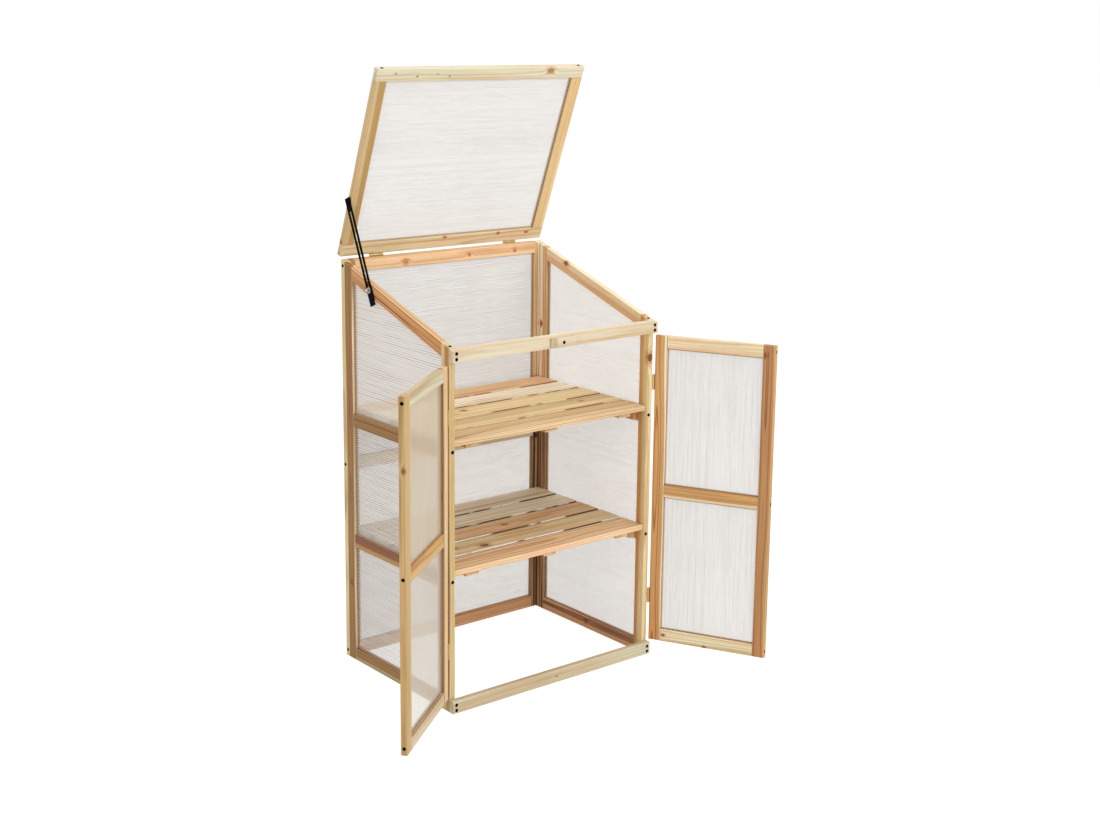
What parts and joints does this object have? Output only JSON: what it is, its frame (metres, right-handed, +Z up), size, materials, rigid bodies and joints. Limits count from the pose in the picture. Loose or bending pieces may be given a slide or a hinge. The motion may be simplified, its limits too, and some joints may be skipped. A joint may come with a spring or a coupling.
{
  "type": "mini greenhouse",
  "caption": "Tall wooden mini greenhouse with milky twin-wall sheets, two front doors, a hinged sloping lid on a slotted stay, and slatted shelves.",
  "frame": {"origin": "middle of the underside of the front bottom rail, on the ground", "axes": "+X to the right seen from the doors, +Y from the doors to the back, +Z up"},
  "size_m": [1.0024, 0.7192, 1.4331],
  "materials": {
    "wood": "planed, unpainted softwood with knots and heartwood stripes",
    "sheet": "milky translucent twin-wall sheet with fine flutes",
    "brass": "brassed steel, satin",
    "black_steel": "black coated steel, satin",
    "zinc": "bright zinc plate"
  },
  "bodies": {
    "frame": {"left_front_stile": "wood", "left_back_stile": "wood", "left_bottom_rail": "wood", "left_lower_mid_rail": "wood", "left_upper_mid_rail": "wood", "left_sloped_top_rail": "wood", "left_lower_sheet": "sheet", "left_middle_sheet": "sheet", "left_upper_sheet": "sheet", "right_front_stile": "wood", "right_back_stile": "wood", "right_bottom_rail": "wood", "right_lower_mid_rail": "wood", "right_upper_mid_rail": "wood", "right_sloped_top_rail": "wood", "right_lower_sheet": "sheet", "right_middle_sheet": "sheet", "right_upper_sheet": "sheet", "back_left_stile": "wood", "back_right_stile": "wood", "back_bottom_rail": "wood", "back_middle_rail": "wood", "back_top_rail": "wood", "back_lower_sheet": "sheet", "back_upper_sheet": "sheet", "front_bottom_rail": "wood", "front_top_rail": "wood", "lower_shelf": "wood", "upper_shelf": "wood", "lid_left_hinge_fixed_leaf": "brass", "lid_right_hinge_fixed_leaf": "brass"},
    "left_door": {"left_door_hinge_stile": "wood", "left_door_free_stile": "wood", "left_door_bottom_rail": "wood", "left_door_middle_rail": "wood", "left_door_top_rail": "wood", "left_door_lower_sheet": "sheet", "left_door_upper_sheet": "sheet", "left_door_lower_hinge_leaf": "brass", "left_door_upper_hinge_leaf": "brass"},
    "right_door": {"right_door_hinge_stile": "wood", "right_door_free_stile": "wood", "right_door_bottom_rail": "wood", "right_door_middle_rail": "wood", "right_door_top_rail": "wood", "right_door_lower_sheet": "sheet", "right_door_upper_sheet": "sheet", "right_door_lower_hinge_leaf": "brass", "right_door_upper_hinge_leaf": "brass"},
    "lid": {"lid_back_rail": "wood", "lid_front_rail": "wood", "lid_left_stile": "wood", "lid_right_stile": "wood", "lid_sheet": "sheet", "lid_left_hinge_moving_leaf": "brass", "lid_right_hinge_moving_leaf": "brass"},
    "turn_button": {"turn_button": "wood"},
    "stay_swivel": {"stay_stud": "zinc"},
    "stay_bar": {"stay_bar": "black_steel"}
  },
  "joints": [
    {"name": "left_door_hinge", "type": "hinge", "parent": "frame", "child": "left_door", "pos_m": [-0.3028, 0.00625, 0.418], "axis": [0, 0, 1], "range_deg": [-38, 142]},
    {"name": "right_door_hinge", "type": "hinge", "parent": "frame", "child": "right_door", "pos_m": [0.3028, 0.00625, 0.418], "axis": [0, 0, -1], "range_deg": [-63, 117]},
    {"name": "lid_hinge", "type": "hinge", "parent": "frame", "child": "lid", "pos_m": [0, 0.44477, 0.98606], "axis": [1, 0, 0], "range_deg": [0, 87.2]},
    {"name": "turn_button_pivot", "type": "hinge", "parent": "frame", "child": "turn_button", "pos_m": [-0.004, -0.0075, 0.8259], "axis": [0, 1, 0], "range_deg": [-90, 90]},
    {"name": "stay_swivel", "type": "hinge", "parent": "frame", "child": "stay_swivel", "pos_m": [-0.3, 0.31749, 0.9271], "axis": [1, 0, 0], "range_deg": [0, 43.61]},
    {"name": "stay_slide", "type": "slide", "parent": "stay_swivel", "child": "stay_bar", "axis": [0, -0.4044, -0.9146], "range_m": [0, 0.1859]}
  ],
  "couplings": [
    {"joint": "stay_swivel", "follows": "lid_hinge", "ratio": 0.5},
    {"joint": "stay_slide", "follows": "lid_hinge", "m_per_rad": 0.12208}
  ]
}
